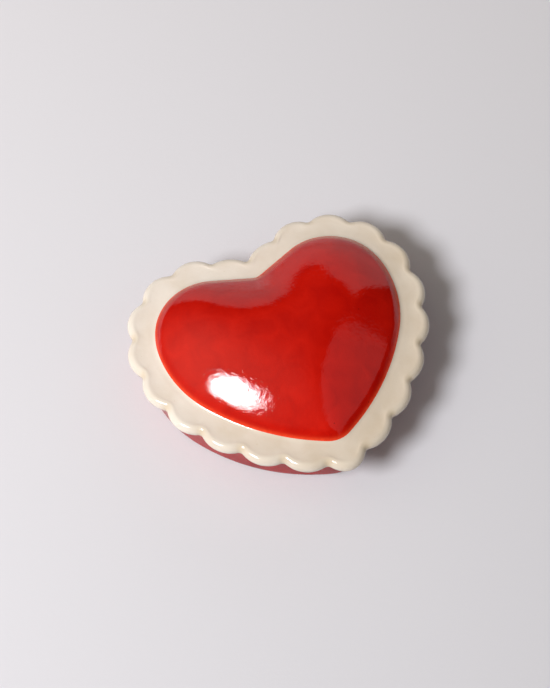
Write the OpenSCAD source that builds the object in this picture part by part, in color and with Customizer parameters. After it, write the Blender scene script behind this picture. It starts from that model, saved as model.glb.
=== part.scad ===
// Heart-shaped trinket box of glazed ceramic: a heart-shaped base and a lift-off lid.
// The lid is a cream rim with a scalloped edge, and a hollow red dome stands on it.
// +Z is up and the heart's tip points to -Y. The origin is on the surface the box stands on,
// under the middle of its outer limits. All sizes are in millimetres.
//
// Every outline is one heart: a straight shoulder on each side of the notch, three arcs of growing
// radius round the lobe, a long flank arc, and a round tip. Offsetting it keeps the arcs' centres.

/* [Heart outline] */
// Angle of the straight shoulder beside the notch, in degrees
shoulder_angle = 19.8; // [15:0.1:25]
// Length of the straight shoulder
shoulder_length = 19.3; // [16:0.1:22]
// Height of the notch above the heart's own zero line
notch_height = 31; // [28:0.1:34]
// Radius of the first arc, over the top of the lobe
crown_radius = 24.2; // [22:0.1:26]
// Turn of the first arc, in degrees
crown_turn = 84.7; // [80:0.1:88]
// Radius of the second arc, at the lobe's side
side_radius = 31.2; // [29:0.1:34]
// Turn of the second arc, in degrees
side_turn = 20.7; // [18:0.1:23]
// Radius of the third arc, below the lobe
hip_radius = 46.9; // [44:0.1:50]

/* [Dome] */
// Turn of the dome outline's third arc, in degrees
dome_hip_turn = 38.3; // [36:0.1:40]
// Radius of the dome outline's flank
dome_flank_radius = 97; // [90:1:105]
// Radius of the dome outline's tip
dome_tip_radius = 11; // [9:0.5:14]
// Radius of the dome outline's notch
dome_notch_radius = 5; // [4:0.5:7]
// Height of the dome above the rim's top face
dome_height = 16.2; // [13:0.1:20]
// Height that the dome's foot rises almost at once
dome_foot_rise = 1.2; // [0.5:0.1:2]
// Distance in which the foot makes about two thirds of that rise
dome_foot_reach = 0.5; // [0.3:0.1:1]
// Fullness of the dome's sides: 1 is straight, and more is plumper with a flatter top
dome_fullness = 1.7; // [1.3:0.1:2.4]
// Upright step between the rim's top face and the dome
dome_step = 0.6; // [0.3:0.1:1]
// Thickness of the dome's wall
dome_wall = 3.6; // [3:0.1:4.5]

/* [Scalloped rim] */
// Distance from the dome's outline to the line that joins the notches between scallops
rim_width = 9.1; // [8:0.1:10.5]
// Turn of the rim outline's third arc, in degrees
rim_hip_turn = 35; // [34:0.1:37]
// Radius of the rim outline's flank
rim_flank_radius = 86; // [82:1:92]
// Radius of the rim outline's tip
rim_tip_radius = 9.3; // [7:0.1:14]
// Number of scallops down each side, besides the one on the tip
side_scallops = 10; // [8:1:12]
// Width of the first scallop, beside the heart's notch
first_scallop_width = 15; // [13:0.5:17]
// Radius of each scallop
scallop_radius = 13.9; // [11:0.1:18]
// Thickness of the rim
rim_thickness = 5.8; // [5:0.1:7]
// Radius of the rim's rounded edge
rim_edge_radius = 2.8; // [2:0.1:3.4]

/* [Base] */
// Height of the base, from the surface it stands on to the rim's underside
base_height = 21.2; // [16:0.1:28]
// Distance from the dome's outline to the base's outer wall
base_offset = 5.5; // [4:0.1:6.5]
// Turn of the base outline's third arc, in degrees
base_hip_turn = 36.6; // [35:0.1:38]
// Radius of the base outline's flank, before its offset
base_flank_radius = 79.3; // [75:0.1:85]
// Radius of the base outline's tip
base_tip_radius = 10; // [8:0.5:13]
// Thickness of the base's wall
base_wall = 4; // [3.5:0.1:5]
// Thickness of the base's floor
base_floor = 4; // [3:0.1:6]
// Radius of the base's rounded outer and inner edges
base_edge_radius = 1.6; // [1:0.1:1.8]
// Height of the foot
foot_height = 0.8; // [0.5:0.1:2]
// Width of the foot
foot_width = 5; // [4:0.1:7]
// Distance from the base's wall in to the foot
foot_inset = 1.8; // [1.7:0.1:3]

/* [Locating ring] */
// Gap between the base's inner wall and the ring
ring_gap = 1; // [0.6:0.1:1.5]
// Thickness of the ring
ring_wall = 3.2; // [2.8:0.1:4]
// Depth of the ring below the rim
ring_depth = 5; // [3:0.1:7]
// Height of the unglazed edge at the bottom of the ring
ring_edge_height = 1; // [0.6:0.1:2]

/* [Colours] */
// Red glaze
red_glaze = "#C1170F"; // [#C1170F, #A81210, #D62A1C]
// Cream glaze
cream_glaze = "#E9DCC6"; // [#E9DCC6, #F2E8D8, #D9C7A8]
// Unglazed fired clay
bare_clay = "#D8CBB4"; // [#D8CBB4, #E6DCCB, #C4B296]

/* [Hidden] */

arc_step = 7;          // most degrees between two points of an outline's arc
edge_step = 30;        // most degrees between two points of a rounded edge
scallop_steps = 10;    // points along one scallop
dome_rings = 11;       // rings from the dome's foot to its top
dome_centre = [0, -4]; // the heart's deepest point, which the rings of the dome shrink towards

rim_top = base_height + rim_thickness;
rim_middle = base_height + rim_thickness / 2;
scallop_count = 2 * side_scallops + 1;

// ---- arcs and outlines ----

// Points of an arc about c, of radius r, between two headings in degrees. A heading is the way the
// outline runs there, so the radius stands at right angles to it.
function arc(c, r, from, to) =
    let (n = max(2, ceil(abs(to - from) / arc_step)))
    [for (i = [0 : n]) let (t = from + (to - from) * i / n) c + r * [-sin(t), cos(t)]];

// The centre of an arc of radius r that leaves point p at a heading
function arc_centre(p, r, heading) = p + r * [sin(heading), -cos(heading)];

// The points without repeats
function distinct(p) = [for (i = [0 : len(p) - 1]) if (i == 0 || norm(p[i] - p[max(i - 1, 0)]) > 0.001) p[i]];

// Right half of a heart, from the notch to the tip, grown outwards by an offset
function half_heart(offset_by, hip_turn, flank_radius, tip_radius, notch_radius) =
    let (
        a0 = shoulder_angle,
        a1 = a0 - crown_turn,
        a2 = a1 - side_turn,
        a3 = a2 - hip_turn,
        p0 = [0, notch_height] + shoulder_length * [cos(a0), sin(a0)],
        c1 = arc_centre(p0, crown_radius, a0),
        c2 = arc_centre(c1 - crown_radius * [sin(a1), -cos(a1)], side_radius, a1),
        c3 = arc_centre(c2 - side_radius * [sin(a2), -cos(a2)], hip_radius, a2),
        c4 = arc_centre(c3 - hip_radius * [sin(a3), -cos(a3)], flank_radius, a3),
        flank = flank_radius + offset_by,
        tip_y = c4.y - sqrt((flank - tip_radius) ^ 2 - c4.x ^ 2),
        a4 = atan2(c4.x, tip_y - c4.y),
        notch_y = notch_height + (offset_by + notch_radius) / cos(a0)
    )
    distinct(concat(
        arc([0, notch_y], -notch_radius, 0, a0),
        arc(c1, crown_radius + offset_by, a0, a1),
        arc(c2, side_radius + offset_by, a1, a2),
        arc(c3, hip_radius + offset_by, a2, a3),
        arc(c4, flank, a3, a4),
        arc([0, tip_y], tip_radius, a4, -180)
    ));

// The whole outline from its right half: clockwise from the notch, seen from above
function mirrored(half) = concat(half, [for (i = [len(half) - 2 : -1 : 1]) [-half[i].x, half[i].y]]);

function dome_half(offset_by) =
    half_heart(offset_by, dome_hip_turn, dome_flank_radius,
        dome_tip_radius + offset_by, dome_notch_radius - offset_by);

function rim_half() = half_heart(rim_width, rim_hip_turn, rim_flank_radius, rim_tip_radius, dome_notch_radius);

function base_half(offset_by) =
    half_heart(base_offset + offset_by, base_hip_turn, base_flank_radius,
        base_tip_radius + offset_by, dome_notch_radius - min(offset_by, 0));

// ---- places along a line, measured by length ----

function lengths(p) =
    [for (i = 0, s = 0; i < len(p); s = s + norm(p[min(i + 1, len(p) - 1)] - p[i]), i = i + 1) s];

// The point at length s along the right half, which carries on up the left side past the tip
function point_at(half, s) =
    let (
        l = lengths(half),
        total = l[len(l) - 1],
        t = s > total ? 2 * total - s : s,
        x = lookup(t, [for (i = [0 : len(l) - 1]) [l[i], half[i].x]]),
        y = lookup(t, [for (i = [0 : len(l) - 1]) [l[i], half[i].y]])
    )
    [s > total ? -x : x, y];

function half_length(half) = let (l = lengths(half)) l[len(l) - 1];

// ---- the scalloped edge ----

rim_line = rim_half();
rim_length = half_length(rim_line);
scallop_width = (rim_length - first_scallop_width) / (side_scallops - 0.5);

// Length along the rim line at which notch number i between two scallops lies
function cusp(i) =
    i <= 0 ? 0 :
    i <= side_scallops ? first_scallop_width + (i - 1) * scallop_width :
    2 * rim_length - cusp(scallop_count - i);

// Height of a scallop of chord c above the rim line, at distance x from its middle
function scallop_rise(x, c) = sqrt(scallop_radius ^ 2 - x ^ 2) - sqrt(scallop_radius ^ 2 - c ^ 2 / 4);

// Stations along the rim line: [length, rise]
stations = [for (k = [0 : scallop_count - 1], i = [0 : scallop_steps - 1])
    let (c = cusp(k + 1) - cusp(k), u = i / scallop_steps)
    [cusp(k) + c * u, scallop_rise((u - 0.5) * c, c)]];

// Unit vector out of a closed clockwise outline p at its point i
function outward(p, i) =
    let (n = len(p), d = p[(i + 1) % n] - p[(i + n - 1) % n])
    [-d.y, d.x] / norm(d);

rim_line_points = [for (s = stations) point_at(rim_line, s[0])];
scalloped = [for (i = [0 : len(stations) - 1])
    rim_line_points[i] + stations[i][1] * outward(rim_line_points, i)];

// Middle of the rim's limits along Y, which the origin lies under
centre_y = (max([for (p = scalloped) p.y]) + min([for (p = scalloped) p.y])) / 2;

// ---- solids made of rings ----

// A ring at height z from an outline
function ring(outline, z) = [for (p = outline) [p.x, p.y - centre_y, z]];

// Triangles between rings a and b of n points each
function band(a, b, n) = [for (i = [0 : n - 1]) let (j = (i + 1) % n)
    each [[a * n + i, a * n + j, b * n + j], [a * n + i, b * n + j, b * n + i]]];

// Closed solid whose rings run round its cross-section and back to the first
module ring_solid(rings) {
    n = len(rings[0]);
    m = len(rings);
    polyhedron(
        points = [for (r = rings) each r],
        faces = [for (k = [0 : m - 1]) each band(k, (k + 1) % m, n)],
        convexity = 6
    );
}

// Closed solid whose first and last rings are closed by fans about two points
module capped_solid(rings, first_centre, last_centre) {
    n = len(rings[0]);
    m = len(rings);
    polyhedron(
        points = concat([for (r = rings) each r], [first_centre, last_centre]),
        faces = concat(
            [for (k = [0 : m - 2]) each band(k, k + 1, n)],
            [for (i = [0 : n - 1]) [i, m * n, (i + 1) % n]],
            [for (i = [0 : n - 1]) [(m - 1) * n + i, (m - 1) * n + (i + 1) % n, m * n + 1]]
        ),
        convexity = 6
    );
}

// ---- the dome's height ----

dome_outline = mirrored(dome_half(0));

// Integral of 1 / distance^5 along a straight line, up to the length s past the foot of a
// perpendicular whose square is h2
function pull_to(s, h2) =
    s / (3 * h2 * (s ^ 2 + h2) ^ 1.5) + 2 * s / (3 * h2 ^ 2 * sqrt(s ^ 2 + h2));

// Pull of one straight piece of the outline, a to b, on point p
function pull(p, a, b) =
    let (
        d = (b - a) / norm(b - a),
        across = (p.x - a.x) * d.y - (p.y - a.y) * d.x,
        h2 = max(across ^ 2, 0.001)
    )
    pull_to((b - p) * d, h2) - pull_to((a - p) * d, h2);

function total(v) = v * [for (x = v) 1];

// Smooth depth of point p inside the dome's outline: the distance to the edge near the edge, and a
// softly rounded version of it further in. A straight edge of any length pulls 4 / (3 * distance^4).
function depth(p) =
    let (n = len(dome_outline))
    (4 / 3 / total([for (i = [0 : n - 1]) pull(p, dome_outline[i], dome_outline[(i + 1) % n])])) ^ 0.25;

greatest_depth = depth(dome_centre);

// Height of the dome over its step at a depth: a quick rise at the foot, then a slope that eases off
function dome_rise(d) =
    dome_foot_rise * (1 - exp(-d / dome_foot_reach))
    + (dome_height - dome_step - dome_foot_rise)
        * (1 - (1 - min(d / greatest_depth, 1)) ^ dome_fullness);

// Point at a share of the way from the dome's centre to an outline's point
function towards(p, share) = dome_centre + share * (p - dome_centre);

// ---- sub-parts ----

// Wall and floor of the base, with rounded lip and rounded lower edge
module base_shell() {
    r = base_edge_radius;
    top = base_height;
    turns = [0 : edge_step : 90];
    inner = -base_wall;
    rings = concat(
        [for (t = turns)
            ring(mirrored(base_half(-r * (1 - sin(t)))), foot_height + r * (1 - cos(t)))],
        [for (t = turns)
            ring(mirrored(base_half(-r / 2 * (1 - cos(t)))), top - r / 2 * (1 - sin(t)))],
        [for (t = turns)
            ring(mirrored(base_half(inner + r / 2 * (1 - sin(t)))), top - r / 2 * (1 - cos(t)))],
        [for (t = turns)
            ring(mirrored(base_half(inner - r * (1 - cos(t)))), foot_height + base_floor + r * (1 - sin(t)))]
    );
    color(red_glaze)
        capped_solid(
            rings,
            [0, -centre_y, foot_height],
            [0, -centre_y, foot_height + base_floor]
        );
}

// Low foot under the base's edge
module base_foot_ring() {
    color(bare_clay)
        translate([0, -centre_y, 0])
            linear_extrude(foot_height)
                difference() {
                    polygon(mirrored(base_half(-foot_inset)));
                    polygon(mirrored(base_half(-foot_inset - foot_width)));
                }
}

// Flat rim with a scalloped and rounded edge, open inside the dome
module lid_flange() {
    r = rim_edge_radius;
    straight = rim_thickness / 2 - r;
    n = len(scalloped);
    hole_half = dome_half(-dome_wall);
    hole_length = half_length(hole_half);
    hole = [for (s = stations) point_at(hole_half, s[0] / rim_length * hole_length)];
    turns = [-90 : edge_step : 90];
    function edge(t) = [for (i = [0 : n - 1]) scalloped[i] - r * (1 - cos(t)) * outward(scalloped, i)];
    color(cream_glaze)
        ring_solid(concat(
            [ring(hole, base_height)],
            [for (t = turns) ring(edge(t), rim_middle + r * sin(t) + (t < 0 ? -straight : straight))],
            [ring(hole, rim_top)]
        ));
}

// Hollow dome, an even wall over the lid's hole
module lid_dome() {
    inner_outline = mirrored(dome_half(-dome_wall));
    steps = [for (i = [0 : dome_rings - 1]) 1 - (i / dome_rings) ^ 1.5];
    foot = rim_top + dome_step;
    function outer_ring(share) =
        [for (p = dome_outline)
            let (q = towards(p, share))
            [q.x, q.y - centre_y, foot + (share == 1 ? 0 : dome_rise(depth(q)))]];
    function inner_ring(share) =
        [for (p = inner_outline)
            let (q = towards(p, share))
            [q.x, q.y - centre_y, foot + dome_rise(depth(q)) - dome_wall]];
    color(red_glaze)
        capped_solid(
            concat(
                [for (i = [dome_rings - 1 : -1 : 0]) inner_ring(steps[i])],
                [ring(inner_outline, rim_top)],
                [ring(dome_outline, rim_top)],
                [for (s = steps) outer_ring(s)]
            ),
            [dome_centre.x, dome_centre.y - centre_y, rim_top + dome_height - dome_wall],
            [dome_centre.x, dome_centre.y - centre_y, rim_top + dome_height]
        );
}

// A heart-shaped wall inside the base, between two heights
module ring_wall_between(low, high) {
    outside = -base_wall - ring_gap;
    translate([0, -centre_y, low])
        linear_extrude(high - low)
            difference() {
                polygon(mirrored(base_half(outside)));
                polygon(mirrored(base_half(outside - ring_wall)));
            }
}

// Ring under the rim that keeps the lid from sliding off
module lid_locating_ring() {
    color(cream_glaze)
        ring_wall_between(base_height - ring_depth + ring_edge_height, base_height);
}

// Bottom edge of the ring, wiped free of glaze
module lid_ring_edge() {
    color(bare_clay)
        ring_wall_between(base_height - ring_depth, base_height - ring_depth + ring_edge_height);
}

base_shell();
base_foot_ring();
lid_flange();
lid_dome();
lid_locating_ring();
lid_ring_edge();
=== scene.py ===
"""A heart-shaped trinket box of glazed earthenware: a red base, and a lid whose cream scalloped rim
carries a hollow red dome.

Every outline is one heart: a straight shoulder beside the notch, three arcs of growing radius round
the lobe, a long flank arc, and a round tip. Outlines run clockwise from the notch, seen from above.
Lengths are in millimetres until a mesh is made, which turns them to metres.
"""

import math

import bpy
import numpy as np
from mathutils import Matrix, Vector


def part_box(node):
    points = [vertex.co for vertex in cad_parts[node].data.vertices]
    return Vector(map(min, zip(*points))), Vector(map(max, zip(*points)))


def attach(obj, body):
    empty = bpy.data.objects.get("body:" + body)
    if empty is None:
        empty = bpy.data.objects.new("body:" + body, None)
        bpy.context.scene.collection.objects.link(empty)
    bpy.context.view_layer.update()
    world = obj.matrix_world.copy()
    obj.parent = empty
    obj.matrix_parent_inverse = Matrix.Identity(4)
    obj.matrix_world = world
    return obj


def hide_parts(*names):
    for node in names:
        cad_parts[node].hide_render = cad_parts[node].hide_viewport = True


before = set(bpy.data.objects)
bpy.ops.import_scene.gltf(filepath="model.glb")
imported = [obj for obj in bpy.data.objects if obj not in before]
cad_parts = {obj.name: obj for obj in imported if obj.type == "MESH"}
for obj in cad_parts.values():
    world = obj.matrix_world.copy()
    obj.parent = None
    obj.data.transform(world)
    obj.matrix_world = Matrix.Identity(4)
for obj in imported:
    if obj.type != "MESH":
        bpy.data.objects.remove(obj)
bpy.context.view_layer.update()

MM = 0.001

# ---- sizes of the heart, as in the CAD part ----

SHOULDER_ANGLE = 19.8   # degrees that the shoulder climbs away from the notch
SHOULDER_LENGTH = 19.3
NOTCH_HEIGHT = 31.0     # of the unrounded notch, above the heart's zero line
LOBE_ARCS = ((24.2, 84.7), (31.2, 20.7))  # radius and turn of the arcs over the lobe
HIP_RADIUS = 46.9
# Degrees that the hip arc turns, then the radii of the flank, the tip and the notch.
DOME_HEART = {"hip_turn": 38.3, "flank": 97.0, "tip": 11.0, "notch": 5.0}
RIM_HEART = {"hip_turn": 35.0, "flank": 86.0, "tip": 9.3, "notch": 5.0}
BASE_HEART = {"hip_turn": 36.6, "flank": 79.3, "tip": 10.0, "notch": 5.0}
LEAST_NOTCH = 0.8
RIM_WIDTH = 9.1         # from the dome's outline to the line that joins the cusps
BASE_OFFSET = 5.5       # from the dome's outline to the outer face of the base
BASE_WALL = 4.0
BASE_FLOOR = 4.0
FOOT_INSET = 1.8
FOOT_WIDTH = 5.0
RING_GAP = 1.0          # clearance of the locating ring inside the base
RING_WALL = 3.2
DOME_WALL = 3.6
DOME_CENTRE = np.array([0.0, -4.0])  # the point that the dome's rings close on

# ---- sizes of the glaze and the rounded edges ----

FILLET_HEIGHT = 0.6     # how far the rim's cream glaze climbs to the red line
FILLET_REACH = 0.85     # distance in which that climb falls to about a third
FOOT_RISE = 1.1         # what the dome's steep foot adds to its height
FOOT_REACH = 3.0        # depth at which the foot ends in a soft crease
CREASE = 8              # sharpness of that crease
FULLNESS = 1.6          # 1 would make the dome a cone, and a larger number flattens its top
THIN_GLAZE_REACH = 0.85

SIDE_SCALLOPS = 10      # down each side, besides the one on the tip
FIRST_SCALLOP = 15.0    # width of the scallop beside the notch
SCALLOP_RADIUS = 13.9
CUSP_RADIUS = 2.2
RIM_EDGE = 2.8          # radius of the rim's rounded edge

POINTS_ROUND = 440      # points round the dome, the base and the bands
POINTS_PER_SCALLOP = 30

# ---- heights, from the CAD frame ----


def level(node, end):
    """Height of a CAD node's lowest (0) or highest (1) point, in millimetres."""
    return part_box(node)[end].z / MM


FLOOR_Z = level("base_foot_ring", 0)
FOOT_TOP = level("base_shell", 0)
BASE_TOP = level("base_shell", 1)
RIM_TOP = level("lid_flange", 1)
DOME_TOP = level("lid_dome", 1)
RING_LOW = level("lid_ring_edge", 0)
RING_EDGE_TOP = level("lid_ring_edge", 1)

# ---- outlines ----


def heading(degrees):
    """Unit vector of a heading: 0 along +X, positive to the left."""
    return np.array([math.cos(math.radians(degrees)), math.sin(math.radians(degrees))])


def right_of(degrees):
    """Unit vector to the right of a heading, towards the centre of a right-hand arc."""
    return heading(degrees)[::-1] * (1, -1)


def arc(centre, radius, start, end, step):
    """Points of an arc between two headings: the centre plus the radius, turned a right angle to the
    left of the heading, with at most step degrees between points."""
    count = max(3, math.ceil(abs(end - start) / step) + 1)
    t = np.radians(np.linspace(start, end, count))
    return centre + radius * np.column_stack([-np.sin(t), np.cos(t)])


def half_heart(offset, hip_turn, flank, tip, notch, step=1.5):
    """Right half of the heart from the notch to the tip, moved outwards by offset. Each arc keeps its
    centre and grows by the offset; tip and notch are the radii of this outline's own two ends."""
    least_gap = 1e-3  # points nearer than this are one
    angle = SHOULDER_ANGLE
    point = np.array([0.0, NOTCH_HEIGHT]) + SHOULDER_LENGTH * heading(angle)
    notch_y = NOTCH_HEIGHT + (offset + notch) / math.cos(math.radians(angle))
    pieces = [arc(np.array([0.0, notch_y]), -notch, 0.0, angle, step)]
    for radius, turn in LOBE_ARCS + ((HIP_RADIUS, hip_turn),):
        centre = point + radius * right_of(angle)
        pieces.append(arc(centre, radius + offset, angle, angle - turn, step))
        angle -= turn
        point = centre - radius * right_of(angle)
    centre = point + flank * right_of(angle)
    tip_y = centre[1] - math.sqrt((flank + offset - tip) ** 2 - centre[0] ** 2)
    last = math.degrees(math.atan2(centre[0], tip_y - centre[1]))
    pieces.append(arc(centre, flank + offset, angle, last, step))
    pieces.append(arc(np.array([0.0, tip_y]), tip, last, -180.0, step))
    line = np.vstack(pieces)
    return line[np.r_[True, np.hypot(*np.diff(line, axis=0).T) > least_gap]]


def whole(half):
    """Closed outline: the right half, then its mirror image back up the left side."""
    return np.vstack([half, (half * (-1, 1))[-2:0:-1]])


def along(line, shares, closed):
    """Points at shares (0 to 1) of a line's length."""
    if closed:
        line = np.vstack([line, line[:1]])
    run = np.r_[0.0, np.cumsum(np.hypot(*np.diff(line, axis=0).T))]
    where = np.asarray(shares) * run[-1]
    return np.column_stack([np.interp(where, run, line[:, 0]), np.interp(where, run, line[:, 1])])


def outward(outline):
    """Unit vectors out of a closed clockwise outline, at right angles to the line between each
    point's two neighbours."""
    run = np.roll(outline, -1, 0) - np.roll(outline, 1, 0)
    run /= np.hypot(*run.T)[:, None]
    return np.column_stack([-run[:, 1], run[:, 0]])


def smooth_outward(outline, shares):
    """Outward unit vectors at shares of an outline's length, blended between its own points."""
    run = np.hypot(*np.diff(np.vstack([outline, outline[:1]]), axis=0).T)
    place = np.r_[0.0, np.cumsum(run)] / run.sum()
    own = outward(outline)
    own = np.vstack([own, own[:1]])
    blend = np.column_stack([np.interp(shares, place, own[:, 0]), np.interp(shares, place, own[:, 1])])
    return blend / np.hypot(*blend.T)[:, None]


def heart(kind, offset=0.0, count=0):
    """Closed heart outline of one of the three kinds. Its tip grows and its notch shrinks with the
    offset. With a count, it has that many points at equal lengths."""
    sizes = dict(kind)
    sizes["tip"] = kind["tip"] + offset
    sizes["notch"] = max(kind["notch"] - offset, LEAST_NOTCH)
    line = whole(half_heart(offset, **sizes))
    return along(line, np.arange(count) / count, True) if count else line


def base_heart(offset):
    """Outline of the base's wall, moved by offset from its outer face."""
    sizes = dict(BASE_HEART)
    sizes["tip"] += offset
    sizes["notch"] -= min(offset, 0.0)
    line = whole(half_heart(BASE_OFFSET + offset, **sizes))
    return along(line, np.arange(POINTS_ROUND) / POINTS_ROUND, True)


dome_line = heart(DOME_HEART)
# The part's origin is under the middle of its limits, so the heart's own zero line moves in Y.
SHIFT_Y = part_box("lid_dome")[0].y / MM - dome_line[:, 1].min()


# ---- meshes ----


def to_rings(outlines, heights):
    """Array of rings x points x 3 from outlines and heights, which may be numbers or arrays."""
    return np.stack([
        np.column_stack([line, np.broadcast_to(z, len(line))]) for line, z in zip(outlines, heights)
    ])


def grid_mesh(name, rings, closed_section=False, poles=(), marks=None, finish=None):
    """Mesh of an array of rings x points x 3. Points run round each ring; the rings either meet
    again (closed_section) or are closed at both ends by fans about two poles. marks are values per
    point, kept as attributes, and finish is a material number per band of faces."""
    m, n = rings.shape[:2]
    points = rings.reshape(-1, 3)
    i = np.arange(n)
    j = (i + 1) % n
    lower = np.arange(m if closed_section else m - 1)[:, None] * n
    upper = (lower + n) % (m * n)
    quads = np.stack([lower + i, upper + i, upper + j, lower + j], -1).reshape(-1, 4)
    loops = quads.ravel()
    sizes = np.full(len(quads), 4)
    bands = np.repeat(np.arange(len(lower)), n)
    if len(poles):
        first = np.column_stack([i, j, np.full(n, m * n)])
        last = np.column_stack([(m - 1) * n + j, (m - 1) * n + i, np.full(n, m * n + 1)])
        points = np.vstack([points, poles])
        loops = np.r_[loops, first.ravel(), last.ravel()]
        sizes = np.r_[sizes, np.full(2 * n, 3)]
        bands = np.r_[bands, np.zeros(n, int), np.full(n, m - 2)]
    mesh = bpy.data.meshes.new(name)
    mesh.vertices.add(len(points))
    placed = (points + (0, SHIFT_Y, 0)) * MM
    mesh.vertices.foreach_set("co", placed.ravel())
    mesh.loops.add(len(loops))
    mesh.loops.foreach_set("vertex_index", loops.astype(np.int32))
    mesh.polygons.add(len(sizes))
    mesh.polygons.foreach_set("loop_start", np.r_[0, np.cumsum(sizes)[:-1]].astype(np.int32))
    mesh.polygons.foreach_set("use_smooth", np.ones(len(sizes), bool))
    if finish is not None:
        mesh.polygons.foreach_set("material_index", np.asarray(finish)[bands].astype(np.int32))
    for mark, values in (marks or {}).items():
        layer = mesh.attributes.new(mark, "FLOAT", "POINT")
        flat = np.r_[values.ravel(), [values[0].mean(), values[-1].mean()] if len(poles) else []]
        layer.data.foreach_set("value", flat.astype(np.float32))
    mesh.update()
    mesh.validate()
    made = bpy.data.objects.new(name, mesh)
    bpy.context.scene.collection.objects.link(made)
    return made


def unevenness(x, y, size, seed):
    """Slow hand-made unevenness between about -1 and 1: five sine waves of about a given length, in
    directions, phases and lengths that a seed picks, added up and divided by three."""
    pick = np.random.default_rng(seed)
    total = np.zeros_like(x)
    for _ in range(5):
        turn, phase = pick.uniform(0, 2 * math.pi, 2)
        rate = 2 * math.pi / (size * pick.uniform(0.7, 1.5))
        total += np.sin(rate * (x * math.cos(turn) + y * math.sin(turn)) + phase)
    return total / 3


# ---- the dome ----


def smooth_depth(points, outline):
    """How deep points lie inside an outline: near the edge the distance to it, further in a rounded
    version of it. It is (4 / 3 / pull) ** 1/4, where pull is the integral of 1 / distance**5 along
    the outline, summed exactly over its straight pieces."""
    at_once = 4000       # points worked out together
    least_square = 1e-3  # keeps the sum finite on the outline itself
    least_pull = 1e-12
    run = np.roll(outline, -1, 0) - outline
    length = np.hypot(*run.T)
    run = run / length[:, None]
    pull = np.zeros(len(points))
    for part in np.array_split(np.arange(len(points)), len(points) // at_once + 1):
        gap = points[part, None, :] - outline[None]
        square = np.maximum((gap[..., 0] * run[:, 1] - gap[..., 1] * run[:, 0]) ** 2, least_square)
        start = -(gap * run).sum(-1)
        for s, sign in ((start + length, 1), (start, -1)):
            far = s * s + square
            term = s / (3 * square * far ** 1.5) + 2 * s / (3 * square ** 2 * np.sqrt(far))
            pull[part] += sign * term.sum(1)
    return (4 / 3 / np.maximum(pull, least_pull)) ** 0.25


DEEPEST = smooth_depth(DOME_CENTRE[None], dome_line)[0]


def dome_height(depth):
    """Height of the dome at a depth. Over the top of the rim's fillet stands a steep foot, whose share
    of the rise is x / (1 + x**crease)**(1/crease) with x = depth / foot reach, so it climbs evenly and
    then levels off. The main rise, 1 - (1 - depth / deepest)**fullness, is added to it."""
    x = depth / FOOT_REACH
    foot = FOOT_RISE * x / (1 + x ** CREASE) ** (1 / CREASE)
    main = DOME_TOP - RIM_TOP - FILLET_HEIGHT - FOOT_RISE
    bulge = main * (1 - (1 - np.clip(depth / DEEPEST, 0, 1)) ** FULLNESS)
    return RIM_TOP + FILLET_HEIGHT + foot + bulge


def make_dome():
    """The hollow dome as one closed shell: underside from the middle out, the foot, then the red
    outside from the foot back to the middle. Each ring is the outline drawn in towards the centre by
    a share 1 - t**1.9, which crowds the rings near the foot. The outside dips and swells a little."""
    tuck = 0.4        # how far the foot goes down inside the rim
    swell = 0.12      # the outside's unevenness
    swell_size = 34
    swell_from = 8    # depth at which it is full
    outline = heart(DOME_HEART, 0.0, POINTS_ROUND)
    hollow = heart(DOME_HEART, -DOME_WALL, POINTS_ROUND)
    shares = 1 - np.linspace(0, 1, 91)[:-1] ** 1.9 * 0.997
    under = shares[::4][::-1]
    outlines, heights = [], []
    for share in under:
        line = DOME_CENTRE + share * (hollow - DOME_CENTRE)
        outlines.append(line)
        heights.append(dome_height(smooth_depth(line, dome_line)) - DOME_WALL)
    outlines += [hollow, outline]
    heights += [RIM_TOP - tuck, RIM_TOP - tuck]
    outside = len(outlines)
    depths = []
    for share in shares:
        line = DOME_CENTRE + share * (outline - DOME_CENTRE)
        depth = smooth_depth(line, dome_line)
        depths.append(depth)
        depth = depth if share < 1 else np.zeros(POINTS_ROUND)
        grown = swell * np.minimum(depth / swell_from, 1)
        wave = unevenness(line[:, 0], line[:, 1], swell_size, 3)
        outlines.append(line)
        heights.append(dome_height(depth) + grown * (wave - 1))
    grid = to_rings(outlines, heights)
    thin = np.ones(grid.shape[:2])
    thin[outside:] = np.exp(-(np.stack(depths) / THIN_GLAZE_REACH) ** 2)
    finish = np.where(np.arange(len(grid) - 1) < outside - 1, 1, 0)
    poles = [(*DOME_CENTRE, grid[0, :, 2].mean()), (*DOME_CENTRE, grid[-1, :, 2].mean())]
    return grid_mesh("dome", grid, poles=poles, marks={"thin_glaze": thin}, finish=finish)


# ---- the scalloped rim ----


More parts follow.
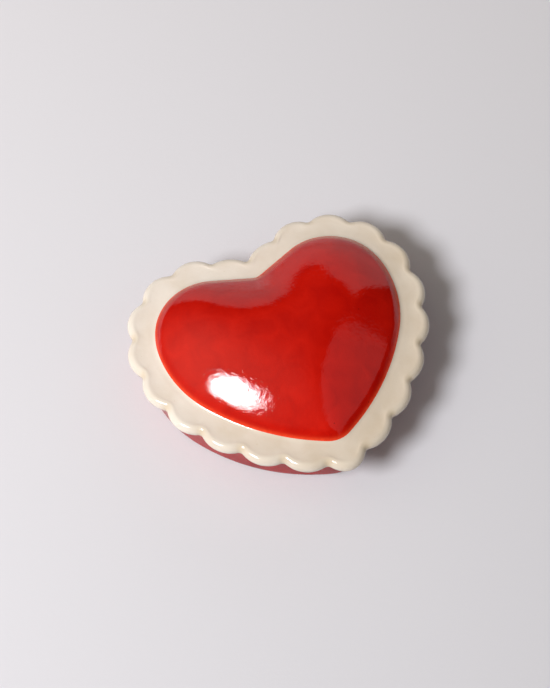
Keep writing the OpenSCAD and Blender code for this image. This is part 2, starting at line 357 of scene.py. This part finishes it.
def scallops():
    """Stations along the rim line: share of its whole length, rise above it, and distance to the
    nearest cusp. A scallop is a circular arc, and each cusp between two is a small hollow arc that
    touches both."""
    line = half_heart(RIM_WIDTH, **RIM_HEART)
    half = np.hypot(*np.diff(line, axis=0).T).sum()
    width = (half - FIRST_SCALLOP) / (SIDE_SCALLOPS - 0.5)
    right = np.r_[0.0, FIRST_SCALLOP + width * np.arange(SIDE_SCALLOPS)]
    cusps = np.r_[right, (2 * half - right)[::-1]]
    start = cusps[:-1, None]
    chord = np.diff(cusps)[:, None]
    u = (1 - np.cos(math.pi * np.arange(POINTS_PER_SCALLOP) / POINTS_PER_SCALLOP)) / 2
    x = (u[None] - 0.5) * chord
    peak = SCALLOP_RADIUS - np.sqrt(SCALLOP_RADIUS ** 2 - chord ** 2 / 4)
    crest = peak - SCALLOP_RADIUS + np.sqrt(np.maximum(SCALLOP_RADIUS ** 2 - x ** 2, 0))
    both = SCALLOP_RADIUS + CUSP_RADIUS
    hollow_centre = peak - SCALLOP_RADIUS + np.sqrt(both ** 2 - chord ** 2 / 4)
    to_cusp = chord / 2 - np.abs(x)
    hollow = hollow_centre - np.sqrt(np.maximum(CUSP_RADIUS ** 2 - to_cusp ** 2, 0))
    rise = np.where(np.abs(x) < chord / 2 * SCALLOP_RADIUS / both, crest, hollow)
    low = hollow_centre - CUSP_RADIUS
    before = (np.roll(low, 1) - low) / 2
    after = (np.roll(low, -1) - low) / 2
    rise += before * (1 - u) + after * u  # neighbours of unlike width meet at one height
    return ((start + x + chord / 2) / (2 * half)).ravel(), rise.ravel(), to_cusp.ravel()


def rim_climb(distance):
    """Height of the rim's fillet above its flat top at a distance outside the red line: the fillet's
    height * exp(-distance / its reach)."""
    return FILLET_HEIGHT * np.exp(-distance / FILLET_REACH)


def make_rim():
    """The cream rim as one closed shell. Its section runs from the hole along the underside, round a
    half-circle edge, over the top, up the fillet to the red line, and down inside the dome. The top
    sags a little between its edge and the fillet, as glaze does."""
    sag = 0.16
    swell = 0.07         # the top's unevenness
    swell_size = 26
    cusp_tan_width = 1.5     # how far the tan reaches from a cusp along the edge
    cusp_tan_depth = 2.2     # and in from the edge
    fillet_start = 2.6   # distance from the red line at which the fillet's own rings begin
    shares, rise, to_cusp = scallops()
    rim_line = whole(half_heart(RIM_WIDTH, step=0.5, **RIM_HEART))
    edge_line = along(rim_line, shares, True) + rise[:, None] * smooth_outward(rim_line, shares)
    out = outward(edge_line)
    red_line = along(dome_line, shares, True)
    red_out = outward(red_line)
    hole = along(heart(DOME_HEART, -DOME_WALL), shares, True)
    middle = (BASE_TOP + RIM_TOP) / 2
    straight = (RIM_TOP - BASE_TOP) / 2 - RIM_EDGE
    # The rim turns tan near each cusp, along the edge and a little way in.
    near_cusp = np.exp(-(to_cusp / cusp_tan_width) ** 2)
    outlines, heights, cusp_tan_rings = [hole], [BASE_TOP], [0 * near_cusp]
    for t in np.radians(np.linspace(-90, 90, 25)):
        inset = RIM_EDGE * (1 - math.cos(t))
        outlines.append(edge_line - inset * out)
        heights.append(middle + math.copysign(straight, t) + RIM_EDGE * math.sin(t))
        cusp_tan_rings.append(near_cusp * math.exp(-((inset / cusp_tan_depth) ** 2)))
    top_line = outlines[-1]
    near = red_line + fillet_start * red_out
    for share in np.linspace(0, 1, 10)[1:]:
        spot = top_line + share * (near - top_line)
        gap = np.abs(((spot - red_line) * red_out).sum(1))
        dip = sag * math.sin(math.pi * share) + swell
        wave = swell * unevenness(spot[:, 0], spot[:, 1], swell_size, 5) * math.sin(math.pi * share / 2)
        outlines.append(spot)
        heights.append(RIM_TOP - dip + wave + rim_climb(gap))
    for distance in (2.1, 1.7, 1.35, 1.05, 0.8, 0.58, 0.38, 0.2, 0.08, 0.0):
        spot = red_line + distance * red_out
        wave = swell * unevenness(spot[:, 0], spot[:, 1], swell_size, 5) * min(distance / 2, 1)
        outlines.append(spot)
        heights.append(RIM_TOP + rim_climb(distance) + wave - swell * distance / fillet_start)
    outlines += [red_line - 0.12 * red_out, hole]  # hidden, inside the dome
    heights += [RIM_TOP + FILLET_HEIGHT - 0.25, RIM_TOP - 0.5]
    grid = to_rings(outlines, heights)
    cusp_tan_rings += [0 * near_cusp] * (len(grid) - len(cusp_tan_rings))
    return grid_mesh("rim", grid, closed_section=True, marks={"pooled_glaze": np.stack(cusp_tan_rings)})


# ---- walls: base, foot, locating ring ----


def quarter(count=7):
    """Angles of a rounded edge, in radians, from 0 to a right angle."""
    return np.radians(np.linspace(0, 90, count))


def make_base():
    """The base as one closed shell: underside, rounded lower edge, outer wall, rounded lip, inner
    wall, rounded inner corner, floor. The walls swell a little half way up, as slip-cast ware does."""
    low = 1.6       # radius of the lower edge
    lip = 0.9       # of the lip's two edges
    inside = 1.6    # of the corner between wall and floor
    swell = 0.1     # the walls' unevenness
    swell_size = 30
    lip_glaze = 0.5  # height in which the glaze thins towards the lip
    floor_z = FOOT_TOP + BASE_FLOOR
    section = [(-low * (1 - math.sin(t)), FOOT_TOP + low * (1 - math.cos(t))) for t in quarter(9)]
    rise = np.linspace(FOOT_TOP + low, BASE_TOP - lip, 14)[1:-1]
    section += [(0.0, z) for z in rise]
    section += [(-lip * (1 - math.cos(t)), BASE_TOP - lip * (1 - math.sin(t))) for t in quarter()]
    section += [
        (-BASE_WALL + lip * (1 - math.sin(t)), BASE_TOP - lip * (1 - math.cos(t))) for t in quarter()
    ]
    section += [(-BASE_WALL, z) for z in rise[::-1] if z > floor_z + inside]
    section += [
        (-BASE_WALL - inside * (1 - math.cos(t)), floor_z + inside * (1 - math.sin(t)))
        for t in quarter(9)
    ]
    start = base_heart(section[0][0])
    end = base_heart(section[-1][0])
    shares = (0.15, 0.45, 0.7, 0.88, 0.96)  # of the way out, for the rings of underside and floor
    outlines = [share * start for share in shares]
    outlines += [base_heart(offset) for offset, _ in section]
    outlines += [share * end for share in shares[::-1]]
    heights = [FOOT_TOP] * len(shares) + [z for _, z in section] + [floor_z] * len(shares)
    swollen = []
    for line, z in zip(outlines, heights):
        grown = swell * math.sin(math.pi * min(max((z - FOOT_TOP) / (BASE_TOP - FOOT_TOP), 0), 1))
        wave = unevenness(line[:, 0], line[:, 1] + 2 * z, swell_size, 7)
        swollen.append(line + (grown * (wave - 1))[:, None] * outward(line))
    grid = to_rings(swollen, heights)
    lip_at = np.array([math.exp(-((z - BASE_TOP) / lip_glaze) ** 2) for z in heights])
    thin = np.broadcast_to(lip_at[:, None], grid.shape[:2]).copy()
    poles = [(0, 0, FOOT_TOP), (0, 0, floor_z)]
    return grid_mesh("base", grid, poles=poles, marks={"thin_glaze": thin})


def make_band(name, outer, inner, low, high, rounding):
    """A heart-shaped band between two offsets of the base's wall and two heights, as one closed
    shell with its lower edges rounded."""
    section = [(outer, high), (inner, high)]
    section += [
        (inner + rounding * (1 - math.cos(t)), low + rounding * (1 - math.sin(t))) for t in quarter()
    ]
    section += [
        (outer - rounding * (1 - math.sin(t)), low + rounding * (1 - math.cos(t))) for t in quarter()
    ]
    grid = to_rings([base_heart(offset) for offset, _ in section], [z for _, z in section])
    return grid_mesh(name, grid, closed_section=True)


# ---- where the camera and the lights stand ----

# The camera stands in front of the tip and to its left. Studio directions are an azimuth, clockwise
# from the way the camera faces, and an elevation, both in degrees.
CAMERA_TURN = 24.39
CAMERA_ELEVATION = 62.31
CAMERA_DISTANCE = 735.3
CAMERA_LENS = 94.19
CAMERA_SENSOR = 36
AIM = np.array([-5.9, -0.5 + SHIFT_Y, RIM_TOP + FILLET_HEIGHT])


def toward(azimuth, elevation):
    """Unit vector from the box in a studio direction."""
    a = math.radians(azimuth + CAMERA_TURN)
    e = math.radians(elevation)
    return Vector((math.sin(a) * math.cos(e), math.cos(a) * math.cos(e), math.sin(e)))


# ---- materials ----

# Sockets that share a name with another of the same node, by number.
FACTOR, COLOUR_A, COLOUR_B = 0, 6, 7
MIXED = 2
VALUE, FROM_LOW, FROM_HIGH, TO_LOW, TO_HIGH = range(5)


def linear(hex_colour):
    """sRGB hex to linear RGBA."""
    parts = [int(hex_colour[k:k + 2], 16) / 255 for k in (1, 3, 5)]
    return tuple(c / 12.92 if c <= 0.04045 else ((c + 0.055) / 1.055) ** 2.4 for c in parts) + (1.0,)


def per_metre(size_mm):
    """Scale of a texture whose features are about size_mm across."""
    return 1 / (size_mm * MM)


def add(tree, kind, settings=None, links=None):
    """Adds a node. settings are its own properties, with stops for a ramp's (place, colour) pairs;
    links gives each input socket, by name or number, a value or another node's output."""
    made = tree.nodes.new("ShaderNode" + kind)
    for name, value in (settings or {}).items():
        if name == "stops":
            while len(made.color_ramp.elements) < len(value):
                made.color_ramp.elements.new(0.5)
            for stop, (place, colour) in zip(made.color_ramp.elements, value):
                stop.position = place
                stop.color = colour
        else:
            setattr(made, name, value)
    for name, value in (links or {}).items():
        if isinstance(value, bpy.types.NodeSocket):
            tree.links.new(value, made.inputs[name])
        else:
            made.inputs[name].default_value = value
    return made


def material(name):
    """New material with no nodes yet. Returns it and its node tree."""
    made = bpy.data.materials.new(name)
    made.use_nodes = True
    made.node_tree.nodes.clear()
    return made, made.node_tree


def red_glaze(name, deep, middle, bright):
    """Selenium-red gloss glaze over earthenware: a coloured glass, poured and fired. It is deep and
    even, breaks to orange where it runs thin over an edge, and carries faint brush clouds, pinholes
    and an orange-peel surface that roughens the edges of reflections."""
    made, tree = material(name)
    coords = add(tree, "TexCoord").outputs["Object"]
    clouds = add(tree, "TexNoise", None, {
        "Vector": coords, "Scale": per_metre(9), "Detail": 5, "Distortion": 0.6,
    })
    body = add(tree, "ValToRGB", {"stops": [
        (0.3, linear(deep)), (0.5, linear(middle)), (0.72, linear(bright)),
    ]}, {"Fac": clouds.outputs[0]})
    # The orange line at an edge wavers, because glaze draws back from it unevenly.
    thin = add(tree, "Attribute", {"attribute_name": "thin_glaze"})
    drawn_back = add(tree, "TexNoise", None, {"Vector": coords, "Scale": per_metre(1.4), "Detail": 2})
    ragged = add(tree, "MapRange", None, {
        VALUE: drawn_back.outputs[0], FROM_LOW: 0.2, FROM_HIGH: 0.8, TO_LOW: 0.7, TO_HIGH: 1.25,
    })
    thinness = add(tree, "Math", {"operation": "MULTIPLY", "use_clamp": True}, {
        0: thin.outputs["Fac"], 1: ragged.outputs[0],
    })
    broken = add(tree, "Mix", {"data_type": "RGBA"}, {
        FACTOR: thinness.outputs[0], COLOUR_A: body.outputs["Color"], COLOUR_B: linear("#F0492A"),
    })
    # A pinhole every 7 mm or so, about 0.4 mm across.
    pinholes = add(tree, "TexVoronoi", None, {"Vector": coords, "Scale": per_metre(7)})
    specks = add(tree, "MapRange", None, {
        VALUE: pinholes.outputs["Distance"], FROM_LOW: 0.02, FROM_HIGH: 0.035, TO_LOW: 1, TO_HIGH: 0,
    })
    speckled = add(tree, "Mix", {"data_type": "RGBA"}, {
        FACTOR: specks.outputs[0], COLOUR_A: broken.outputs[MIXED], COLOUR_B: linear("#5E0503"),
    })
    peel = add(tree, "TexNoise", None, {
        "Vector": coords, "Scale": per_metre(1.6), "Detail": 4, "Distortion": 0.6,
    })
    peeled = add(tree, "Bump", None, {
        "Strength": 1.0, "Distance": 0.055 * MM, "Height": peel.outputs[0],
    })
    slow = add(tree, "TexNoise", None, {"Vector": coords, "Scale": per_metre(12), "Detail": 1})
    surface = add(tree, "Bump", None, {
        "Strength": 1.0, "Distance": 0.14 * MM, "Height": slow.outputs[0], "Normal": peeled.outputs[0],
    })
    shader = add(tree, "BsdfPrincipled", None, {
        "Base Color": speckled.outputs[MIXED],
        "Roughness": 0.04,
        "IOR": 1.5,
        "Normal": surface.outputs[0],
    })
    add(tree, "OutputMaterial", None, {"Surface": shader.outputs[0]})
    return made


def cream_glaze():
    """Cream semi-gloss earthenware glaze, applied by spray and fired: opaque and soft, with faint warm
    mottling and flecks, tan near the cusps, and broad highlights. Its tone darkens slowly to buff
    towards the right: painted shade, standing in for the light falling off across the rim."""
    made, tree = material("cream_earthenware_glaze")
    coords = add(tree, "TexCoord").outputs["Object"]
    patches = add(tree, "TexNoise", None, {
        "Vector": coords, "Scale": per_metre(13), "Detail": 4, "Distortion": 0.3,
    })
    mottle = add(tree, "ValToRGB", {"stops": [
        (0.3, linear("#E6DACB")), (0.52, linear("#EDE3D8")), (0.75, linear("#F3EBE1")),
    ]}, {"Fac": patches.outputs[0]})
    # Painted shade: the cream darkens slowly towards the right, standing in for the light falling off
    # across the rim.
    across = add(tree, "VectorMath", {"operation": "DOT_PRODUCT"}, {0: coords, 1: toward(108, 0)})
    falloff_place = add(tree, "MapRange", None, {
        VALUE: across.outputs["Value"], FROM_LOW: -55 * MM, FROM_HIGH: 55 * MM,
    })
    buff = add(tree, "ValToRGB", {"stops": [
        (0.0, linear("#FFFFFF")), (1.0, linear("#E4DFD5")),
    ]}, {"Fac": falloff_place.outputs[0]})
    shaded_mottle = add(tree, "Mix", {"data_type": "RGBA", "blend_type": "MULTIPLY"}, {
        FACTOR: 1.0, COLOUR_A: mottle.outputs["Color"], COLOUR_B: buff.outputs["Color"],
    })
    # Tan near each cusp, along the edge and a little way in.
    cusp_tan_mark = add(tree, "Attribute", {"attribute_name": "pooled_glaze"})
    cusp_tan_share = add(tree, "Math", {"operation": "MULTIPLY", "use_clamp": True}, {
        0: cusp_tan_mark.outputs["Fac"], 1: 0.5,
    })
    toned = add(tree, "Mix", {"data_type": "RGBA"}, {
        FACTOR: cusp_tan_share.outputs[0], COLOUR_A: shaded_mottle.outputs[MIXED], COLOUR_B: linear("#CDB58E"),
    })
    grains = add(tree, "TexNoise", None, {"Vector": coords, "Scale": per_metre(1.1), "Detail": 2})
    flecks = add(tree, "MapRange", None, {
        VALUE: grains.outputs[0], FROM_LOW: 0.7, FROM_HIGH: 0.78, TO_LOW: 0, TO_HIGH: 0.25,
    })
    flecked = add(tree, "Mix", {"data_type": "RGBA"}, {
        FACTOR: flecks.outputs[0], COLOUR_A: toned.outputs[MIXED], COLOUR_B: linear("#C9B48F"),
    })
    ripple = add(tree, "TexNoise", None, {"Vector": coords, "Scale": per_metre(3.5), "Detail": 3})
    surface = add(tree, "Bump", None, {
        "Strength": 1.0, "Distance": 0.06 * MM, "Height": ripple.outputs[0],
    })
    shader = add(tree, "BsdfPrincipled", None, {
        "Base Color": flecked.outputs[MIXED],
        "Roughness": 0.12,
        "IOR": 1.5,
        "Normal": surface.outputs[0],
    })
    add(tree, "OutputMaterial", None, {"Surface": shader.outputs[0]})
    return made


def bare_clay():
    """Biscuit-fired earthenware, wiped free of glaze: dry, pale buff and finely gritty."""
    made, tree = material("bisque_earthenware")
    coords = add(tree, "TexCoord").outputs["Object"]
    patches = add(tree, "TexNoise", None, {"Vector": coords, "Scale": per_metre(4), "Detail": 5})
    tone = add(tree, "ValToRGB", {"stops": [
        (0.3, linear("#C6B495")), (0.55, linear("#D6C7AC")), (0.8, linear("#E2D6C0")),
    ]}, {"Fac": patches.outputs[0]})
    grit = add(tree, "TexNoise", None, {"Vector": coords, "Scale": per_metre(0.5), "Detail": 2})
    surface = add(tree, "Bump", None, {
        "Strength": 0.8, "Distance": 0.1 * MM, "Height": grit.outputs[0],
    })
    shader = add(tree, "BsdfPrincipled", None, {
        "Base Color": tone.outputs["Color"],
        "Roughness": 0.85,
        "IOR": 1.5,
        "Normal": surface.outputs[0],
    })
    add(tree, "OutputMaterial", None, {"Surface": shader.outputs[0]})
    return made


def paper_floor():
    """Matt studio paper with a slow gradation of painted light, palest towards the left and back,
    standing in for the lamps' fall-off, and a faint tooth of fibres."""
    made, tree = material("studio_paper_with_painted_falloff")
    coords = add(tree, "TexCoord").outputs["Object"]
    # Painted light: the paper brightens towards the left and back, standing in for the lamps' fall-off.
    across = add(tree, "VectorMath", {"operation": "DOT_PRODUCT"}, {0: coords, 1: toward(-50, 0)})
    place = add(tree, "MapRange", None, {
        VALUE: across.outputs["Value"], FROM_LOW: -250 * MM, FROM_HIGH: 250 * MM,
    })
    tone = add(tree, "ValToRGB", {"stops": [
        (0.0, linear("#CBCBD2")), (1.0, linear("#ECEBF2")),
    ]}, {"Fac": place.outputs[0]})
    fibres = add(tree, "TexNoise", None, {"Vector": coords, "Scale": per_metre(1.5), "Detail": 3})
    surface = add(tree, "Bump", None, {
        "Strength": 0.4, "Distance": 0.1 * MM, "Height": fibres.outputs[0],
    })
    shader = add(tree, "BsdfPrincipled", None, {
        "Base Color": tone.outputs["Color"],
        "Roughness": 0.9,
        "IOR": 1.4,
        "Normal": surface.outputs[0],
    })
    add(tree, "OutputMaterial", None, {"Surface": shader.outputs[0]})
    return made


def lit_card(radiance):
    """White card, evenly lit: it glows with the same strength all over."""
    made, tree = material("lit_white_card")
    glow = add(tree, "Emission", None, {"Strength": radiance})
    add(tree, "OutputMaterial", None, {"Surface": glow.outputs[0]})
    return made


# ---- the pieces, on their bodies ----

red = red_glaze("selenium_red_gloss_glaze", "#B60D05", "#BF1106", "#C81508")
# Painted shade: the base's red is a darker copy of the dome's red glaze, standing in for the shade
# under the rim's overhang.
shaded_red = red_glaze("shaded_selenium_red_gloss_glaze", "#930B09", "#9F0D0A", "#AA110C")
cream = cream_glaze()
clay = bare_clay()
outer_ring = -BASE_WALL - RING_GAP
inner_ring = outer_ring - RING_WALL
SEATING = 0.3  # how far a band goes into the piece above it, so that no gap shows

parts = [
    (make_base(), "base", "base_shell", "red_glaze", [shaded_red]),
    (make_band("foot", -FOOT_INSET, -FOOT_INSET - FOOT_WIDTH, FLOOR_Z, FOOT_TOP + SEATING, 0.3),
     "base", "base_foot_ring", "bare_clay", [clay]),
    (make_rim(), "lid", "lid_flange", "cream_glaze", [cream]),
    (make_dome(), "lid", "lid_dome", "red_glaze", [red, cream]),
    (make_band("locating_ring", outer_ring, inner_ring, RING_EDGE_TOP, BASE_TOP + SEATING, 0.05),
     "lid", "lid_locating_ring", "cream_glaze", [cream]),
    (make_band("locating_ring_edge", outer_ring, inner_ring, RING_LOW, RING_EDGE_TOP, 0.5),
     "lid", "lid_ring_edge", "bare_clay", [clay]),
]
for piece, body, node, slot, finishes in parts:
    for finish in finishes:
        piece.data.materials.append(finish)
    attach(piece, body)
    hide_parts(node)

# ---- studio ----

FLOOR_REACH = 6.0  # metres from the box to the paper's edges
FAR_BOARD_FACES = (15, 18)
FAR_BOARD_DISTANCE = 2.2
# The board's corners as studio directions: a low left wing, a rounded shoulder, a square right end.
FAR_BOARD_CORNERS = (
    (-40, -3), (-34, 5), (-20, 14), (-8, 27), (2, 36), (18, 41), (47, 39), (48, -3),
)


def area_light(name, direction, distance, size, radiance, shape="RECTANGLE"):
    """Light that faces the box from a studio direction. The size is its width and height as shares
    of its distance. Its power is radiance x pi x area."""
    width = size[0] * distance
    height = size[1] * distance
    lamp = bpy.data.lights.new(name, "AREA")
    lamp.shape = shape
    lamp.size = width
    lamp.size_y = height
    lamp.energy = radiance * math.pi * width * height * (math.pi / 4 if shape == "ELLIPSE" else 1)
    made = bpy.data.objects.new(name, lamp)
    made.location = toward(*direction) * distance
    made.rotation_euler = toward(*direction).to_track_quat("Z", "Y").to_euler()
    bpy.context.scene.collection.objects.link(made)


def flat_card(name, corners, finish):
    """Stage card from its corners in metres."""
    mesh = bpy.data.meshes.new(name)
    mesh.from_pydata([tuple(corner) for corner in corners], [], [tuple(range(len(corners)))])
    mesh.materials.append(finish)
    made = bpy.data.objects.new(name, mesh)
    bpy.context.scene.collection.objects.link(made)


def make_studio():
    """Pale paper floor, a round softbox at the front left, a pale board behind and a dimmer one at the
    right. The world is dark but for the glow of the wall round the softbox, which falls off as the
    cosine of the angle from its middle to the power 3.5."""
    signs = ((-1, -1), (1, -1), (1, 1), (-1, 1))
    flat_card("floor", [(x * FLOOR_REACH, y * FLOOR_REACH, 0) for x, y in signs], paper_floor())
    area_light("softbox", (-132, 50), 1.5, (0.34, 0.30), 36, "ELLIPSE")
    facing = toward(*FAR_BOARD_FACES)
    ways = [toward(*corner) for corner in FAR_BOARD_CORNERS]
    corners = [way * FAR_BOARD_DISTANCE / way.dot(facing) for way in ways]
    flat_card("far_board", corners, lit_card(0.55))
    area_light("right_board", (110, 44), 0.9, (1.25, 0.9), 0.32)
    world = bpy.data.worlds.new("studio")
    world.use_nodes = True
    tree = world.node_tree
    tree.nodes.clear()
    way = add(tree, "TexCoord").outputs["Generated"]
    to_wall = add(tree, "VectorMath", {"operation": "DOT_PRODUCT"}, {0: way, 1: toward(-100, 45)})
    lit_side = add(tree, "Math", {"operation": "MAXIMUM"}, {0: to_wall.outputs["Value"], 1: 0.0})
    halo = add(tree, "Math", {"operation": "POWER"}, {0: lit_side.outputs[0], 1: 3.5})
    glow = add(tree, "Math", {"operation": "MULTIPLY_ADD"}, {0: halo.outputs[0], 1: 0.75, 2: 0.015})
    sky = add(tree, "Background", None, {"Color": linear("#FFEFD6"), "Strength": glow.outputs[0]})
    add(tree, "OutputWorld", None, {"Surface": sky.outputs[0]})
    bpy.context.scene.world = world


def make_camera():
    """Camera in front of the tip and to its left, well above, aimed a little beside the middle."""
    lens = bpy.data.cameras.new("camera")
    lens.sensor_width = CAMERA_SENSOR
    lens.lens = CAMERA_LENS
    lens.clip_end = 20
    made = bpy.data.objects.new("camera", lens)
    back = toward(180, CAMERA_ELEVATION)
    made.location = Vector(AIM * MM) + back * CAMERA_DISTANCE * MM
    made.rotation_euler = back.to_track_quat("Z", "Y").to_euler()
    bpy.context.scene.collection.objects.link(made)
    bpy.context.scene.camera = made


make_studio()
make_camera()
bpy.context.scene.view_settings.view_transform = "Standard"
